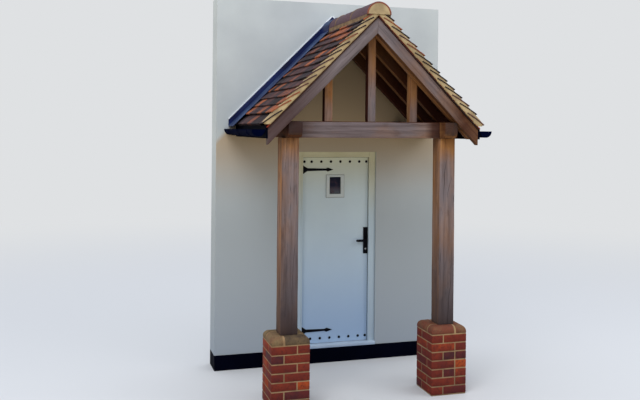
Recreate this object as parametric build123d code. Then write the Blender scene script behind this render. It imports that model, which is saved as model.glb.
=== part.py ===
from build123d import *
import math
import os

# Entrance porch in green oak on two brick piers, with a plain tiled gable roof,
# on a bay of the rendered house wall that carries it and its front door.
# Millimetres. X runs along the wall, Y goes from the porch into the house, Z is up.
# The origin is at the foot of the wall, on the centreline between the posts,
# in the plane of the wall's outer face.

# Brick piers
brick_course = 75.0
pier_courses = 8
pier_side = 327.5
pier_reach = 1210.0          # from the wall's face to the front of the piers
bullnose_radius = 51.0

# Posts and truss
post_spacing = 1430.0        # between the centrelines of the posts
post_side = 148.0
truss_reach = 1140.0         # from the wall's face to the front of the posts
beam_bottom = 2240.0
beam_depth = 140.0
tie_width = 120.0
plate_width = 120.0
plate_nose = 108.0           # how far a wall plate runs past the front of its post
nose_radius = 60.0
strut_side = 70.0
strut_offset = 387.0         # from the centreline to the middle of a strut

# Rafters
pitch = 45.0
rafter_depth = 95.0
rafter_seat = 18.0           # width of the birdsmouth on the wall plate
eave_reach = 180.0           # from the plate's outer face to the rafter's plumb cut
front_rafter_width = 60.0
truss_rafter_width = 75.0
inner_rafter_width = 60.0
inner_rafter_count = 3
last_rafter_gap = 220.0      # between the last rafter and the wall

# Roof covering, with thicknesses measured square to the slope
board_thickness = 12.0
board_overhang = 10.0
batten_space = 47.0
tile_thickness = 16.0
tile_gauge = 100.0
eave_overhang = 44.0
eave_tile_depth = 25.0
eave_dip = 22.0              # drop of the lowest course's tail below the others
verge_overhang = 25.0
verge_bed = 36.0
verge_bed_width = 55.0
ridge_radius = 110.0
ridge_thickness = 15.0
ridge_drop = 86.0            # from the peak of the tiles to the ridge tiles' centre
ridge_tile_count = 3
ridge_joint = 8.0
ridge_overhang = 5.0
lead_thickness = 4.0
lead_cover = 240.0
lead_upstand = 46.0
lead_overhang = 48.0

# Eaves
fascia_thickness = 18.0
fascia_depth = 105.0
fascia_top_gap = 7.0
gutter_radius = 56.0
gutter_wall = 3.0
gutter_end_gap = 5.0
bracket_thickness = 4.0
bracket_width = 25.0
bracket_count = 3
gutter_rim_drop = 24.0       # below the lowest edge of the lead

# House wall
wall_thickness = 250.0
wall_half_width = 1150.0
wall_over_lead = 130.0
plinth_height = 145.0
plinth_projection = 10.0

# Door frame
door_offset = 61.0           # the door stands to the right of the porch's centreline
frame_width = 834.0
frame_top = 2086.0
frame_setback = 15.0
frame_face = 71.0            # width of a jamb seen from outside
head_face = 54.0
stop_depth = 20.0
threshold_height = 35.0
threshold_nose = 15.0

# Door leaf
leaf_thickness = 44.0
leaf_gap = 5.0
stop_overlap = 12.0
vision_width = 118.0
vision_height = 169.0
vision_trim = 34.0
vision_trim_top = 20.0
vision_trim_depth = 8.0
vision_offset = -4.0
vision_centre = 1750.0
glass_thickness = 24.0

# Door furniture
strap_length = 317.0
strap_inset = 6.0
strap_root = 44.0
strap_neck = 15.0
strap_end = 10.0
strap_tip = 20.0
strap_thickness = 5.0
upper_strap_height = 1909.0
lower_strap_height = 312.0
plate_face_width = 44.0
plate_face_height = 265.0
plate_face_thickness = 8.0
plate_inset = 26.0           # from the visible edge of the leaf to the plate's middle
plate_drop = 2.0             # from the lever down to the plate's middle
lever_height = 1194.0
lever_length = 120.0
lever_depth = 23.0
lever_thickness = 12.0
lever_standoff = 40.0
neck_radius = 9.0
running_gap = 0.05
spindle_side = 8.0
spindle_room = 3.0
lock_drop = 87.0             # from the lever down to the lock
lock_radius = 8.5
lock_gap = 0.3
lock_proud = 3.0
hinge_radius = 7.0
hinge_pin_radius = 3.0
hinge_length = 90.0
hinge_flag = 36.0
hinge_flag_thickness = 2.5
hinge_end_gap = 0.3
hinge_margin = 225.0
hinge_count = 3

# Heights and places that follow from the sizes above
slope = math.tan(math.radians(pitch))
plumb = 1 / math.cos(math.radians(pitch))
pier_height = pier_courses * brick_course
half_spacing = post_spacing / 2
beam_top = beam_bottom + beam_depth
plate_inner = half_spacing - post_side / 2
plate_outer = plate_inner + plate_width
foot = plate_outer + eave_reach
rafter_under = beam_top + (plate_outer - rafter_seat) * slope
rafter_top = rafter_under + rafter_depth * plumb
board_top = rafter_top + board_thickness * plumb
tile_low = board_top + batten_space * plumb
tile_peak = tile_low + tile_thickness * plumb
eave = foot + eave_overhang
front_back = truss_reach + truss_rafter_width
roof_front = front_back + front_rafter_width
verge = roof_front + verge_overhang
ridge_centre = tile_peak - ridge_drop
ridge_front = verge + ridge_overhang
lead_peak = tile_peak + lead_upstand * plumb
wall_top = lead_peak + wall_over_lead
fascia_face = foot + fascia_thickness
eave_low = tile_peak - eave_dip - eave_tile_depth * plumb
fascia_top = eave_low - fascia_face * slope - fascia_top_gap
fascia_bottom = fascia_top - fascia_depth
gutter_centre = fascia_face + gutter_radius + bracket_thickness
gutter_rim = tile_peak - (eave + lead_overhang) * slope - gutter_rim_drop
frame_left = door_offset - frame_width / 2
frame_right = door_offset + frame_width / 2
sight_left = frame_left + frame_face
sight_right = frame_right - frame_face
sight_top = frame_top - head_face
leaf_left = sight_left - stop_overlap
leaf_right = sight_right + stop_overlap
leaf_top = sight_top + stop_overlap
leaf_bottom = plinth_height + threshold_height + leaf_gap
leaf_front = frame_setback + stop_depth + leaf_gap
leaf_back = leaf_front + leaf_thickness
hinge_x = leaf_left - leaf_gap / 2
hinge_y = leaf_back + hinge_radius
handle_x = sight_right - plate_inset
plate_middle = lever_height - plate_drop
lock_height = lever_height - lock_drop


def block(left, right, front, back, bottom, top):
    """A straight block between the given faces."""
    middle = ((left + right) / 2, (front + back) / 2, (bottom + top) / 2)
    return Pos(*middle) * Box(right - left, back - front, top - bottom)


def prism(points, front, back):
    """A solid with an outline in X and Z, running from front to back in Y."""
    outline = Plane.XZ * make_face(Polyline(*points, close=True))
    return Pos(0, back, 0) * extrude(outline, back - front)


def rod(x, z, radius, front, back):
    """A round bar along Y."""
    disc = Plane.XZ * (Pos(x, z) * Circle(radius))
    return Pos(0, back, 0) * extrude(disc, back - front)


def other_side(part):
    """The matching piece on the left of the centreline."""
    return mirror(part, about=Plane.YZ)


def sloping_strip(low, high, start, end, front, back):
    """A layer that follows the right-hand slope, with plumb ends.

    low and high are the heights of its faces over the centreline.
    """
    points = [
        (start, low - start * slope),
        (end, low - end * slope),
        (end, high - end * slope),
        (start, high - start * slope),
    ]
    return prism(points, front, back)


# Masonry

def wall_pieces():
    """The rendered wall beside and over the doorway, on its plinth."""
    return {
        "wall_left_of_door": block(
            -wall_half_width, frame_left, 0, wall_thickness, plinth_height, wall_top),
        "wall_right_of_door": block(
            frame_right, wall_half_width, 0, wall_thickness, plinth_height, wall_top),
        "wall_over_door": block(
            frame_left, frame_right, 0, wall_thickness, frame_top, wall_top),
    }


def plinth_pieces():
    """The plinth runs the length of the wall and stands a little proud of it."""
    front = -plinth_projection
    return {
        "plinth_left": block(
            -wall_half_width, frame_left, front, wall_thickness, 0, plinth_height),
        "plinth_under_door": block(
            frame_left, frame_right, front, wall_thickness, 0, plinth_height),
        "plinth_right": block(
            frame_right, wall_half_width, front, wall_thickness, 0, plinth_height),
    }


def pier():
    """The right-hand pier, capped by a course of bullnose bricks on all four sides."""
    half = pier_side / 2
    body = block(
        half_spacing - half, half_spacing + half, -pier_reach, pier_side - pier_reach,
        0, pier_height)
    return fillet(body.edges().group_by(Axis.Z)[-1], bullnose_radius)


# Oak frame

def post():
    """The right-hand post, from the pier to the wall plate."""
    half = post_side / 2
    return block(
        half_spacing - half, half_spacing + half, -truss_reach, post_side - truss_reach,
        pier_height, beam_bottom)


def wall_plate():
    """The right-hand plate, from the wall past the post to a rounded nose."""
    front = -truss_reach - plate_nose
    body = block(plate_inner, plate_outer, front, 0, beam_bottom, beam_top)
    nose = body.edges().filter_by(Axis.X).group_by(Axis.Y)[0].sort_by(Axis.Z)[0]
    return fillet(nose, nose_radius)


def tie_beam():
    """The beam between the wall plates, flush with the front of the posts."""
    return block(
        -plate_inner, plate_inner, -truss_reach, tie_width - truss_reach,
        beam_bottom, beam_top)


def king_post():
    """The middle post, cut to a point under the roof boards."""
    half = strut_side / 2
    points = [
        (-half, beam_top),
        (half, beam_top),
        (half, rafter_top - half * slope),
        (0, rafter_top),
        (-half, rafter_top - half * slope),
    ]
    return prism(points, -truss_reach, strut_side - truss_reach)


def strut():
    """The right-hand strut, cut to the slope under the roof boards."""
    inner = strut_offset - strut_side / 2
    outer = strut_offset + strut_side / 2
    points = [
        (inner, beam_top),
        (outer, beam_top),
        (outer, rafter_top - outer * slope),
        (inner, rafter_top - inner * slope),
    ]
    return prism(points, -truss_reach, strut_side - truss_reach)


def rafter(front, width):
    """A right-hand rafter with a birdsmouth over the plate and a plumb-cut foot."""
    bar = sloping_strip(rafter_under, rafter_top, 0, foot, front, front + width)
    seat = block(
        plate_inner, plate_outer, -truss_reach - plate_nose, 0, beam_bottom, beam_top)
    return bar - seat


def front_rafter():
    """The outermost rafter, planted on the front of the truss rafter."""
    return rafter(-roof_front, front_rafter_width)


def rear_rafters():
    """The truss rafter and the inner rafters behind it, evenly spaced to the wall.

    Their feet are cut level with the lower edge of the fascia.
    """
    spacing = (truss_reach - last_rafter_gap) / inner_rafter_count
    rafters = [rafter(-front_back, truss_rafter_width)]
    for number in range(1, inner_rafter_count + 1):
        back = spacing * number - truss_reach
        rafters.append(rafter(back - inner_rafter_width, inner_rafter_width))
    below_fascia = block(plate_outer, foot, -front_back, 0, 0, fascia_bottom)
    return Compound(children=[piece - below_fascia for piece in rafters])


# Roof covering

def roof_boards():
    """The boarding over the right-hand rafters."""
    return sloping_strip(
        rafter_top, board_top, 0, foot, -roof_front - board_overhang, 0)


def tile_tops():
    """Outline of the tiled surface, course by course from the eave to the peak."""
    step = tile_gauge / plumb
    tail = eave - step
    points = [
        (eave, tile_peak - eave_dip - eave * slope),
        (tail, tile_low - tail * slope),
    ]
    while tail > step:
        head = tail - step
        points.append((tail, tile_peak - tail * slope))
        points.append((head, tile_low - head * slope))
        tail = head
    points.append((tail, tile_peak - tail * slope))
    points.append((0, tile_low))
    return points


def roof_tiles():
    """The right-hand tiling: stepped courses on battens, over a mortar bed in front."""
    verge_low = board_top + verge_bed * plumb
    tops = tile_tops()
    field = prism(
        tops + [
            (0, board_top),
            (foot, board_top - foot * slope),
            (foot, eave_low - foot * slope),
            (eave, eave_low - eave * slope),
        ],
        verge_bed_width - verge, 0)
    edge = prism(
        tops + [
            (0, verge_low),
            (foot, verge_low - foot * slope),
            (foot, eave_low - foot * slope),
            (eave, eave_low - eave * slope),
        ],
        -verge, verge_bed_width - verge)
    return field + edge


def verge_mortar():
    """The bed under the front edge of the right-hand tiles."""
    verge_low = board_top + verge_bed * plumb
    return sloping_strip(
        board_top, verge_low, 0, foot, -roof_front - board_overhang,
        verge_bed_width - verge)


def ridge_length():
    """Length of one ridge tile, with joints between them."""
    joints = ridge_joint * (ridge_tile_count - 1)
    return (ridge_front - joints) / ridge_tile_count


def ridge_tiles():
    """Half-round tiles laid end to end along the peak."""
    length = ridge_length()
    room = block(
        -ridge_radius, ridge_radius, -ridge_front, 0, ridge_centre - ridge_radius,
        ridge_centre)
    tiles = []
    for number in range(ridge_tile_count):
        front = (length + ridge_joint) * number - ridge_front
        outer = rod(0, ridge_centre, ridge_radius, front, front + length)
        inner = rod(0, ridge_centre, ridge_radius - ridge_thickness, front, front + length)
        tiles.append(outer - inner - room)
    return Compound(children=tiles)


def ridge_mortar(tiles):
    """The bedding that fills the ridge tiles and sits on the two slopes."""
    inside = ridge_radius - ridge_thickness
    fill = rod(0, ridge_centre, inside, -ridge_front, 0)
    skirt = block(
        -ridge_radius, ridge_radius, -ridge_front, 0, ridge_centre - ridge_radius,
        ridge_centre)
    fill = fill + skirt
    length = ridge_length()
    for number in range(1, ridge_tile_count):
        back = (length + ridge_joint) * number - ridge_front
        joint = rod(0, ridge_centre, ridge_radius - lead_thickness, back - ridge_joint, back)
        fill = fill + joint
    underneath = prism(
        [
            (0, board_top + verge_bed * plumb),
            (wall_half_width, board_top + verge_bed * plumb - wall_half_width * slope),
            (-wall_half_width, board_top + verge_bed * plumb - wall_half_width * slope),
        ],
        -ridge_front, 0)
    for side in tiles:
        fill = fill - side
    return fill - underneath


def roof_line(height, half_width):
    """Outline of both slopes with the given peak, closed well below the eaves."""
    low = height - half_width * slope
    bottom = low - half_width
    return [
        (0, height),
        (half_width, low),
        (half_width, bottom),
        (-half_width, bottom),
        (-half_width, low),
    ]


def lead_flashing():
    """Lead dressed up the wall and down over the tiles and the ridge."""
    half_width = eave + lead_overhang
    outer_radius = ridge_radius + lead_thickness
    lead_top = tile_peak + lead_thickness * plumb
    upstand = prism(roof_line(lead_peak, half_width), -lead_thickness, 0)
    apron = prism(roof_line(lead_top, half_width), -lead_cover, 0)
    saddle = rod(0, ridge_centre, outer_radius, -lead_cover, 0)
    skirt = block(
        -outer_radius, outer_radius, -lead_cover, 0, ridge_centre - outer_radius,
        ridge_centre)
    sheet = upstand + apron + saddle + skirt
    roof = prism(roof_line(tile_peak, half_width * 2), -lead_cover, 0)
    ridge = rod(0, ridge_centre, ridge_radius, -lead_cover, 0)
    bed = block(
        -ridge_radius, ridge_radius, -lead_cover, 0, ridge_centre - ridge_radius,
        ridge_centre)
    return sheet - roof - ridge - bed


# Eaves

def fascia():
    """The board across the right-hand rafter feet."""
    return block(foot, fascia_face, -roof_front, 0, fascia_bottom, fascia_top)


def gutter():
    """The right-hand half-round gutter, with stopped ends."""
    front = -roof_front
    back = -gutter_end_gap
    outer = rod(gutter_centre, gutter_rim, gutter_radius, front, back)
    trough = rod(
        gutter_centre, gutter_rim, gutter_radius - gutter_wall, front + gutter_wall,
        back - gutter_wall)
    above = block(
        gutter_centre - gutter_radius, gutter_centre + gutter_radius, front, back,
        gutter_rim, gutter_rim + gutter_radius)
    return outer - trough - above


def gutter_bracket(middle):
    """A half ring under the right-hand gutter, with its back against the fascia."""
    front = middle - bracket_width / 2
    back = middle + bracket_width / 2
    radius = gutter_radius + bracket_thickness
    ring = rod(gutter_centre, gutter_rim, radius, front, back)
    ring = ring - rod(gutter_centre, gutter_rim, gutter_radius, front, back)
    above = block(
        gutter_centre - radius, gutter_centre + radius, front, back, gutter_rim,
        gutter_rim + radius)
    plate = block(
        fascia_face, fascia_face + bracket_thickness / 2, front, back,
        gutter_rim - gutter_radius, gutter_rim)
    return ring - above + plate


def gutter_brackets():
    """The brackets of both gutters, evenly spaced."""
    spacing = roof_front / bracket_count
    right = [gutter_bracket(spacing * (n + 0.5) - roof_front) for n in range(bracket_count)]
    return Compound(children=right + [other_side(bracket) for bracket in right])


# Door frame

def left_jamb():
    """A jamb with the stop that the leaf closes against."""
    stop_back = frame_setback + stop_depth
    bottom = plinth_height + threshold_height
    rebate = leaf_left - leaf_gap
    stop = block(frame_left, sight_left, frame_setback, stop_back, bottom, frame_top)
    return stop + block(frame_left, rebate, stop_back, leaf_back, bottom, frame_top)


def right_jamb():
    """The jamb on the handle side."""
    return Pos(door_offset, 0, 0) * other_side(Pos(-door_offset, 0, 0) * left_jamb())


def frame_head():
    """The head between the jambs, with its stop."""
    stop_back = frame_setback + stop_depth
    stop = block(sight_left, sight_right, frame_setback, stop_back, sight_top, frame_top)
    rebate = block(
        leaf_left - leaf_gap, leaf_right + leaf_gap, stop_back, leaf_back,
        leaf_top + leaf_gap, frame_top)
    return stop + rebate


def threshold():
    """The sill under the leaf, with a nose over the plinth."""
    return block(
        frame_left, frame_right, -threshold_nose, leaf_back, plinth_height,
        plinth_height + threshold_height)


# Door leaf

def vision_hole(front, back):
    """The space of the small window, between two depths."""
    middle = door_offset + vision_offset
    return block(
        middle - vision_width / 2, middle + vision_width / 2, front, back,
        vision_centre - vision_height / 2, vision_centre + vision_height / 2)


def door_leaf():
    """The leaf, cut through for the window, the spindle and the lock."""
    leaf = block(leaf_left, leaf_right, leaf_front, leaf_back, leaf_bottom, leaf_top)
    spindle_hole = rod(
        handle_x, lever_height, spindle_side / 2 * math.sqrt(2) + spindle_room,
        leaf_front, leaf_back)
    lock_hole = rod(handle_x, lock_height, lock_radius + lock_gap, leaf_front, leaf_back)
    return leaf - vision_hole(leaf_front, leaf_back) - spindle_hole - lock_hole


def vision_trims():
    """The raised rims of the window on both faces of the leaf."""
    middle = door_offset + vision_offset
    trims = []
    for front in (leaf_front - vision_trim_depth, leaf_back):
        back = front + vision_trim_depth
        rim = block(
            middle - vision_width / 2 - vision_trim, middle + vision_width / 2 + vision_trim,
            front, back, vision_centre - vision_height / 2 - vision_trim,
            vision_centre + vision_height / 2 + vision_trim_top)
        trims.append(rim - vision_hole(front, back))
    return Compound(children=trims)


def vision_glass():
    """The sealed pane, in the middle of the leaf's thickness."""
    front = leaf_front + (leaf_thickness - glass_thickness) / 2
    return vision_hole(front, front + glass_thickness)


def strap_hinge(height):
    """An iron strap that tapers from a flared root to a spear point."""
    start = sight_left + strap_inset
    tip = start + strap_length
    upper = [
        (start, strap_root),
        (start + strap_root, strap_neck),
        (tip - 4 * strap_tip, strap_end),
        (tip - 3 * strap_tip, strap_tip),
    ]
    lower = [(x, -z) for x, z in reversed(upper)]
    outline = [(x, height + z) for x, z in upper + [(tip, 0)] + lower]
    return prism(outline, leaf_front - strap_thickness, leaf_front)


def strap_hinges():
    """The upper and the lower strap on the outside of the leaf."""
    return Compound(children=[strap_hinge(upper_strap_height), strap_hinge(lower_strap_height)])


def handle_plate(front):
    """A long plate with a bearing for the lever and a hole for the lock."""
    back = front + plate_face_thickness
    plate = block(
        handle_x - plate_face_width / 2, handle_x + plate_face_width / 2, front, back,
        plate_middle - plate_face_height / 2, plate_middle + plate_face_height / 2)
    bearing = rod(handle_x, lever_height, neck_radius + running_gap, front, back)
    keyway = rod(handle_x, lock_height, lock_radius + lock_gap, front, back)
    return plate - bearing - keyway


def handle_plates():
    """The plates on both faces of the leaf."""
    outer = handle_plate(leaf_front - plate_face_thickness)
    return Compound(children=[outer, handle_plate(leaf_back)])


def lock_cylinder():
    """The lock barrel, from plate to plate."""
    front = leaf_front - plate_face_thickness - lock_proud
    return rod(handle_x, lock_height, lock_radius, front, leaf_back + plate_face_thickness)


def lever_arm(front):
    """A rounded bar that points at the hinges."""
    middle = handle_x - lever_length / 2 + lever_depth / 2
    shape = Plane.XZ * (Pos(middle, lever_height) * SlotOverall(lever_length, lever_depth))
    return Pos(0, front + lever_thickness, 0) * extrude(shape, lever_thickness)


def lever_handle():
    """The levers on both sides, turning together on one spindle."""
    front = leaf_front - plate_face_thickness - lever_standoff
    back = leaf_back + plate_face_thickness + lever_standoff
    half = spindle_side / 2
    spindle = block(
        handle_x - half, handle_x + half, leaf_front, leaf_back, lever_height - half,
        lever_height + half)
    outer = lever_arm(front) + rod(handle_x, lever_height, neck_radius, front, leaf_front)
    inner = lever_arm(back - lever_thickness)
    inner = inner + rod(handle_x, lever_height, neck_radius, leaf_back, back)
    return outer + spindle + inner


def hinge_heights():
    """Middles of the butt hinges, evenly spaced on the leaf."""
    low = leaf_bottom + hinge_margin
    high = leaf_top - hinge_margin
    step = (high - low) / (hinge_count - 1)
    return [low + step * number for number in range(hinge_count)]


def knuckle(low, high):
    """One barrel of a butt hinge."""
    return Pos(hinge_x, hinge_y, (low + high) / 2) * Cylinder(hinge_radius, high - low)


def hinge_frame_halves():
    """The halves on the jamb: two barrels each, with the pin through them."""
    halves = []
    for middle in hinge_heights():
        low = middle - hinge_length / 2
        high = middle + hinge_length / 2
        third = hinge_length / 6
        flag = block(
            hinge_x - hinge_flag, hinge_x - leaf_gap / 2, leaf_back,
            leaf_back + hinge_flag_thickness, low, high)
        room = block(
            hinge_x - hinge_radius - hinge_end_gap, hinge_x, leaf_back,
            leaf_back + hinge_flag_thickness, middle - third - hinge_end_gap,
            middle + third + hinge_end_gap)
        barrels = knuckle(low, middle - third - hinge_end_gap)
        barrels = barrels + knuckle(middle + third + hinge_end_gap, high)
        pin = Pos(hinge_x, hinge_y, middle) * Cylinder(hinge_pin_radius, hinge_length)
        halves.append(flag - room + barrels + pin)
    return Compound(children=halves)


def hinge_leaf_halves():
    """The halves on the leaf: one barrel each, turning on the pin."""
    halves = []
    for middle in hinge_heights():
        third = hinge_length / 6
        low = middle - hinge_length / 2
        high = middle + hinge_length / 2
        flag = block(
            hinge_x + leaf_gap / 2, hinge_x + hinge_flag, leaf_back,
            leaf_back + hinge_flag_thickness, low, high)
        for ends in ((low, middle - third), (middle + third, high)):
            flag = flag - block(
                hinge_x, hinge_x + hinge_radius + hinge_end_gap, leaf_back,
                leaf_back + hinge_flag_thickness, *ends)
        barrel = knuckle(middle - third, middle + third)
        bore = Pos(hinge_x, hinge_y, middle)
        bore = bore * Cylinder(hinge_pin_radius + running_gap, hinge_length)
        halves.append(flag + barrel - bore)
    return Compound(children=halves)


def build():
    """Every piece of the porch, by name."""
    tiles = roof_tiles()
    left_tiles = other_side(tiles)
    pieces = {}
    pieces.update(wall_pieces())
    pieces.update(plinth_pieces())
    for name, part in (
        ("pier", pier()),
        ("post", post()),
        ("wall_plate", wall_plate()),
        ("strut", strut()),
        ("front_rafter", front_rafter()),
        ("rear_rafters", rear_rafters()),
        ("roof_boards", roof_boards()),
        ("verge_mortar", verge_mortar()),
        ("fascia", fascia()),
        ("gutter", gutter()),
    ):
        pieces["right_" + name] = part
        pieces["left_" + name] = other_side(part)
    pieces["right_roof_tiles"] = tiles
    pieces["left_roof_tiles"] = left_tiles
    pieces["tie_beam"] = tie_beam()
    pieces["king_post"] = king_post()
    pieces["ridge_tiles"] = ridge_tiles()
    pieces["ridge_mortar"] = ridge_mortar((tiles, left_tiles))
    pieces["lead_flashing"] = lead_flashing()
    pieces["gutter_brackets"] = gutter_brackets()
    pieces["frame_left_jamb"] = left_jamb()
    pieces["frame_right_jamb"] = right_jamb()
    pieces["frame_head"] = frame_head()
    pieces["door_threshold"] = threshold()
    pieces["hinge_frame_halves"] = hinge_frame_halves()
    pieces["hinge_leaf_halves"] = hinge_leaf_halves()
    pieces["door_leaf"] = door_leaf()
    pieces["vision_trims"] = vision_trims()
    pieces["vision_glass"] = vision_glass()
    pieces["strap_hinges"] = strap_hinges()
    pieces["handle_plates"] = handle_plates()
    pieces["lock_cylinder"] = lock_cylinder()
    pieces["lever_handle"] = lever_handle()
    return pieces


os.makedirs("parts", exist_ok=True)
for name, part in build().items():
    export_step(part, f"parts/{name}.step")
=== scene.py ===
import math
import random
from contextlib import contextmanager

import bpy
from mathutils import Matrix, Vector


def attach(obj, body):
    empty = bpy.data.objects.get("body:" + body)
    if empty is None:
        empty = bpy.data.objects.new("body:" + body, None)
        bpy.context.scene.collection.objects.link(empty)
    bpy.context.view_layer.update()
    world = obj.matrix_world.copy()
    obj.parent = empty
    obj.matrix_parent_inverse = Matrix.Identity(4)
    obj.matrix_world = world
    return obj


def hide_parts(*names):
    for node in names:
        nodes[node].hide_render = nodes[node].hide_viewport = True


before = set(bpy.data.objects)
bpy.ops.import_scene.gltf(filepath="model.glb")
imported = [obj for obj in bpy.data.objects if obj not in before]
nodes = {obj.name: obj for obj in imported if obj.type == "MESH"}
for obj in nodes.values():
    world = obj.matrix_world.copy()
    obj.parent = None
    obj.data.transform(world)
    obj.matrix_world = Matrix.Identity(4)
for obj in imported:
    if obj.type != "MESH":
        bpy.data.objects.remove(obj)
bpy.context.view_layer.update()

# Entrance porch: oak frame on brick piers, plain tiles, and the bay of house wall behind it.
# Metres. X runs along the wall, Y goes into the house and Z is up.

chance = random.Random(31)

# Sizes that the pieces share with the frame
pier_side = 0.3275
pier_front = -1.210
pier_top = 0.600
brick_length = 0.215
brick_width = 0.1025
brick_height = 0.065
bed_joint = 0.010
bullnose = 0.051
post_line = 0.715
nose_back = -1.13
truss_back = -1.14
rafter_top = 3.2574
board_top = 3.2743
board_reach = 0.941
tile_peak = 3.3634
tile_gauge = 0.100
tile_width = 0.165
tile_length = 0.265
tile_thickness = 0.0125
wide_tile = 0.2475
eave = 0.985
eave_dip = 0.022
verge = -1.300
verge_tile_length = 0.185
ridge_centre = 3.277
ridge_radius = 0.110
ridge_front = -1.305
lead_peak = 3.4285
sight_left = -0.285
sight_right = 0.407
sight_top = 2.032
leaf_front = 0.040
plinth_top = 0.145

# The tiles meet the wall where x and z add up to this
roof_line = 3.33

# The distance between two rings and two bands of a wave node at a scale of 1
ring_step = 0.314
band_step = 0.628


def stray(most):
    """A chance difference of up to so much, either way."""
    return chance.uniform(-most, most)


# Selecting and shaping

def deselect():
    """Nothing is selected, so that the next tool works on its own piece alone."""
    bpy.ops.object.select_all(action="DESELECT")


def pick(piece):
    """Selects one piece alone and makes it active."""
    deselect()
    piece.select_set(True)
    bpy.context.view_layer.objects.active = piece


@contextmanager
def editing(piece, action="SELECT"):
    """Edit mode on one piece, with all or nothing of it selected at first."""
    pick(piece)
    bpy.ops.object.mode_set(mode="EDIT")
    bpy.ops.mesh.select_all(action=action)
    yield
    bpy.ops.object.mode_set(mode="OBJECT")


def block(name, low, high):
    """A block between two corners."""
    deselect()
    middle = [(a + b) / 2 for a, b in zip(low, high)]
    bpy.ops.mesh.primitive_cube_add(size=1, location=middle)
    piece = bpy.context.active_object
    piece.name = name
    piece.scale = [b - a for a, b in zip(low, high)]
    bpy.ops.object.transform_apply()
    return piece


def settle(piece, matrix):
    """Moves a piece's mesh, and leaves its object at the origin."""
    piece.matrix_world = matrix
    pick(piece)
    bpy.ops.object.transform_apply()
    return piece


def strip(name, side, peak, start, end, low, high, front, back):
    """A bar along a slope: start and end down from the ridge, low and high square to it."""
    ends = (start, end) if side > 0 else (-end, -start)
    piece = block(name, (ends[0], front, low), (ends[1], back, high))
    turn = Matrix.Rotation(math.radians(45) * side, 4, "Y")
    return settle(piece, Matrix.Translation((0, 0, peak)) @ turn)


def copy_of(node, name):
    """A copy of a frame solid, with its loose triangles merged into whole faces."""
    piece = bpy.data.objects.new(name, nodes[node].data.copy())
    bpy.context.scene.collection.objects.link(piece)
    piece.data.materials.clear()
    pick(piece)
    bpy.ops.mesh.customdata_custom_splitnormals_clear()
    with editing(piece):
        bpy.ops.mesh.remove_doubles(threshold=0.00002)
        bpy.ops.mesh.dissolve_limited(angle_limit=math.radians(0.5))
    return piece


def slice_along(piece, direction, step):
    """Cuts edges across a piece at even steps, so that it can be bent or roughened."""
    direction = Vector(direction).normalized()
    reach = [direction.dot(v.co) for v in piece.data.vertices]
    count = max(1, round((max(reach) - min(reach)) / step))
    with editing(piece):
        for number in range(1, count):
            at = min(reach) + (max(reach) - min(reach)) * number / count
            bpy.ops.mesh.select_all(action="SELECT")
            bpy.ops.mesh.bisect(plane_co=direction * at, plane_no=direction)


def keep_between(piece, low, high):
    """Cuts away what lies outside two corners and closes the cuts."""
    for axis in range(3):
        along = Vector([1 if axis == n else 0 for n in range(3)])
        if min(v.co[axis] for v in piece.data.vertices) < low[axis] - 0.0001:
            cut_off(piece, along * low[axis], -along)
        if max(v.co[axis] for v in piece.data.vertices) > high[axis] + 0.0001:
            cut_off(piece, along * high[axis], along)


def cut_off(piece, point, outward):
    """Cuts away what lies beyond a plane and closes the cut."""
    with editing(piece):
        bpy.ops.mesh.bisect(plane_co=point, plane_no=outward, use_fill=True, clear_outer=True)


def soften(piece, width, segments=2, angle=35):
    """Rounds the sharp edges and shades the piece smooth between them."""
    pick(piece)
    arris = piece.modifiers.new("arris", "BEVEL")
    arris.width = width
    arris.segments = segments
    arris.limit_method = "ANGLE"
    arris.angle_limit = math.radians(angle)
    bpy.ops.object.modifier_apply(modifier="arris")
    bpy.ops.object.shade_smooth_by_angle(angle=math.radians(angle))
    return piece


def roughen(piece, size, depth):
    """Pushes the surface in and out over bumps of the given size."""
    pick(piece)
    texture = bpy.data.textures.new("bumps", "CLOUDS")
    texture.noise_scale = size
    bumps = piece.modifiers.new("bumps", "DISPLACE")
    bumps.texture = texture
    bumps.texture_coords = "LOCAL"
    bumps.mid_level = 0.5
    bumps.strength = depth
    bpy.ops.object.modifier_apply(modifier="bumps")
    bpy.data.textures.remove(texture)
    return piece


def set_tone(piece, value):
    """Gives every face of a piece the same place in its material's range of colours."""
    tone = piece.data.attributes.new("tone", "FLOAT", "FACE")
    tone.data.foreach_set("value", [value] * len(piece.data.polygons))


def copied(master, matrix, tone):
    """Another of the same shape, with its own mesh, put in its place."""
    piece = bpy.data.objects.new(master.name, master.data.copy())
    bpy.context.scene.collection.objects.link(piece)
    piece.data.transform(matrix)
    set_tone(piece, tone)
    return piece


def joined(name, pieces):
    """Makes one piece of several."""
    pick(pieces[0])
    for piece in pieces:
        piece.select_set(True)
    bpy.ops.object.join()
    piece = bpy.context.active_object
    piece.name = name
    return piece


def fit(piece, material, body, slot, *stands_for):
    """Finishes a piece: its material, what it moves with and what it stands for."""
    piece.data.materials.clear()
    piece.data.materials.append(material)
    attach(piece, body)
    if stands_for:
        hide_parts(*stands_for)


def refine(node, name, edge, material, body, slot):
    """A frame solid with its edges softened, in its own finish."""
    piece = copy_of(node, name)
    soften(piece, edge)
    fit(piece, material, body, slot, node)


def cover(material, *names):
    """Gives frame solids their material."""
    for name in names:
        for holder in nodes[name].material_slots:
            holder.material = material


# Materials

def linear(code):
    """An sRGB hex colour in the linear values that the shaders take."""
    parts = [int(code[n:n + 2], 16) / 255 for n in (1, 3, 5)]
    return [p / 12.92 if p <= 0.04045 else ((p + 0.055) / 1.055) ** 2.4 for p in parts] + [1.0]


def every(size):
    """The scale at which a pattern repeats about every so many millimetres."""
    return 1000 / size


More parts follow.
